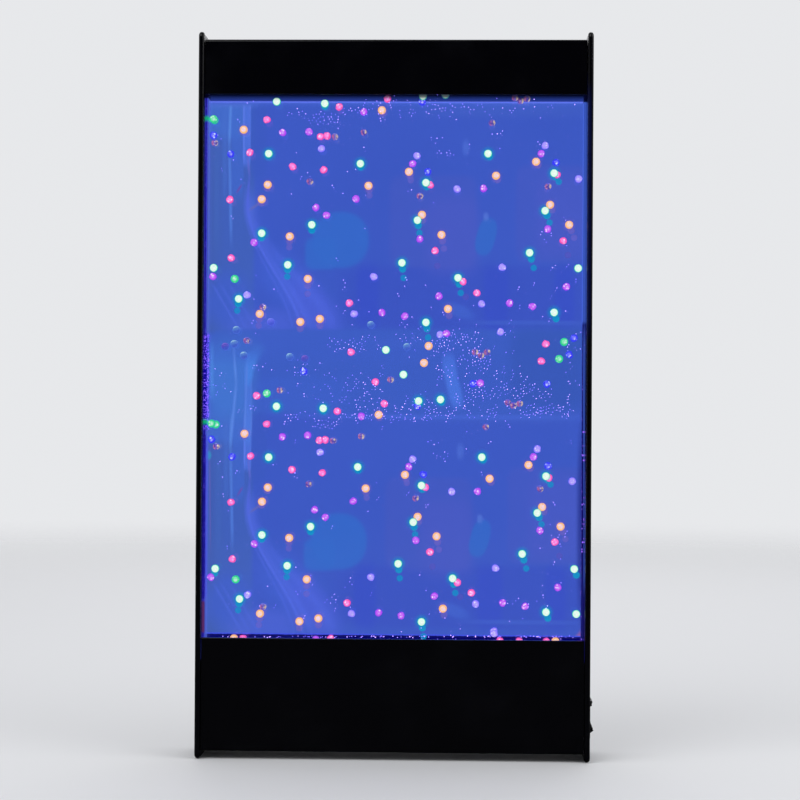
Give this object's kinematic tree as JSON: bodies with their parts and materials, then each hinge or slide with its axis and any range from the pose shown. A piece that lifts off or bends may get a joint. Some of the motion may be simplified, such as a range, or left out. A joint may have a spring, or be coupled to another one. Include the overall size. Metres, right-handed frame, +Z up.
{
  "type": "luminous bead panel",
  "caption": "Wall-hung luminous panel: a thin clear tank of glowing beads in front of a blue light box, between black side plates, with a black cover above and below.",
  "frame": {"origin": "middle of the flat back face, where the panel meets the wall", "axes": "+X to the right as seen from the front, -Y out of the front, +Z up the panel"},
  "size_m": [0.279, 0.056, 0.508],
  "materials": {
    "gloss_black": "gloss",
    "satin_black": "satin",
    "zinc_steel": "satin",
    "bar_aluminium": "satin",
    "clear_sheet": "polished",
    "grey_plastic": "satin",
    "seal_rubber": "matte",
    "opal_sheet": "gloss",
    "white_tray": "matte",
    "black_channel": "satin",
    "strip_white": "matte",
    "bead_orange": "gloss",
    "bead_purple": "gloss",
    "bead_pink": "gloss",
    "bead_lavender": "gloss",
    "switch_black": "satin",
    "rocker_black": "satin",
    "blade_brass": "satin",
    "board_green": "satin",
    "fin_aluminium": "satin",
    "coil_tape": "matte",
    "socket_black": "satin",
    "lead_sleeve": "satin",
    "pump_black": "satin",
    "shaft_ceramic": "gloss",
    "rotor_blue": "satin",
    "hose_silicone": "satin",
    "fitting_black": "satin",
    "key_red": "satin"
  },
  "bodies": {
    "panel": {"left_side_plate": "gloss_black", "right_side_plate": "gloss_black", "bottom_cover": "gloss_black", "rear_panel": "satin_black", "hanger_left": "zinc_steel", "hanger_right": "zinc_steel", "cover_screw_left": "zinc_steel", "cover_screw_right": "zinc_steel", "top_rest_left": "bar_aluminium", "top_rest_right": "bar_aluminium", "cover_bar_left": "bar_aluminium", "cover_bar_right": "bar_aluminium", "tank_front_sheet": "clear_sheet", "tank_back_sheet": "clear_sheet", "tank_left_wall": "clear_sheet", "tank_right_wall": "clear_sheet", "tank_floor_bar": "grey_plastic", "tank_lid_bar": "grey_plastic", "bead_screen": "grey_plastic", "fill_seal": "seal_rubber", "diffuser_panel": "opal_sheet", "light_tray": "white_tray", "light_channel_top": "black_channel", "light_channel_bottom": "black_channel", "light_strip_top": "strip_white", "light_strip_bottom": "strip_white", "bead_1": "bead_orange", "bead_9": "bead_orange", "bead_2": "bead_purple", "bead_3": "bead_pink", "bead_4": "bead_pink", "bead_5": "bead_pink", "bead_6": "bead_pink", "bead_7": "bead_pink", "bead_8": "bead_lavender", "switch_housing": "switch_black", "terminal_upper": "blade_brass", "terminal_lower": "blade_brass", "driver_board": "board_green", "driver_heat_sink": "fin_aluminium", "driver_transformer": "coil_tape", "power_socket": "socket_black", "power_lead": "lead_sleeve", "switch_lead": "lead_sleeve", "light_lead": "lead_sleeve", "pump_lead": "lead_sleeve", "pump_body": "pump_black", "pump_volute": "pump_black", "pump_shaft": "shaft_ceramic", "jet_hose": "hose_silicone", "suction_hose": "hose_silicone", "jet_fitting": "fitting_black", "suction_fitting": "fitting_black", "drain_tap_body": "fitting_black"},
    "cover": {"top_cover": "gloss_black"},
    "rocker": {"switch_rocker": "rocker_black"},
    "impeller": {"pump_impeller": "rotor_blue"},
    "plug": {"fill_plug": "grey_plastic"},
    "tap_key": {"drain_tap_key": "key_red"}
  },
  "joints": [
    {"name": "cover_lift", "type": "slide", "parent": "panel", "child": "cover", "axis": [0, 0, 1], "range_m": [0, 0.045]},
    {"name": "switch_rock", "type": "hinge", "parent": "panel", "child": "rocker", "pos_m": [0.13615, -0.028, -0.2248], "axis": [0, 1, 0], "range_deg": [0, 10]},
    {"name": "impeller_spin", "type": "hinge", "parent": "panel", "child": "impeller", "pos_m": [-0.062, -0.0283, -0.2222], "axis": [1, 0, 0], "continuous": true},
    {"name": "plug_pull", "type": "slide", "parent": "panel", "child": "plug", "axis": [0, 0, 1], "range_m": [0, 0.01]},
    {"name": "tap_turn", "type": "hinge", "parent": "panel", "child": "tap_key", "pos_m": [-0.115, -0.0407, -0.1969], "axis": [0, 1, 0], "range_deg": [0, 90]}
  ]
}
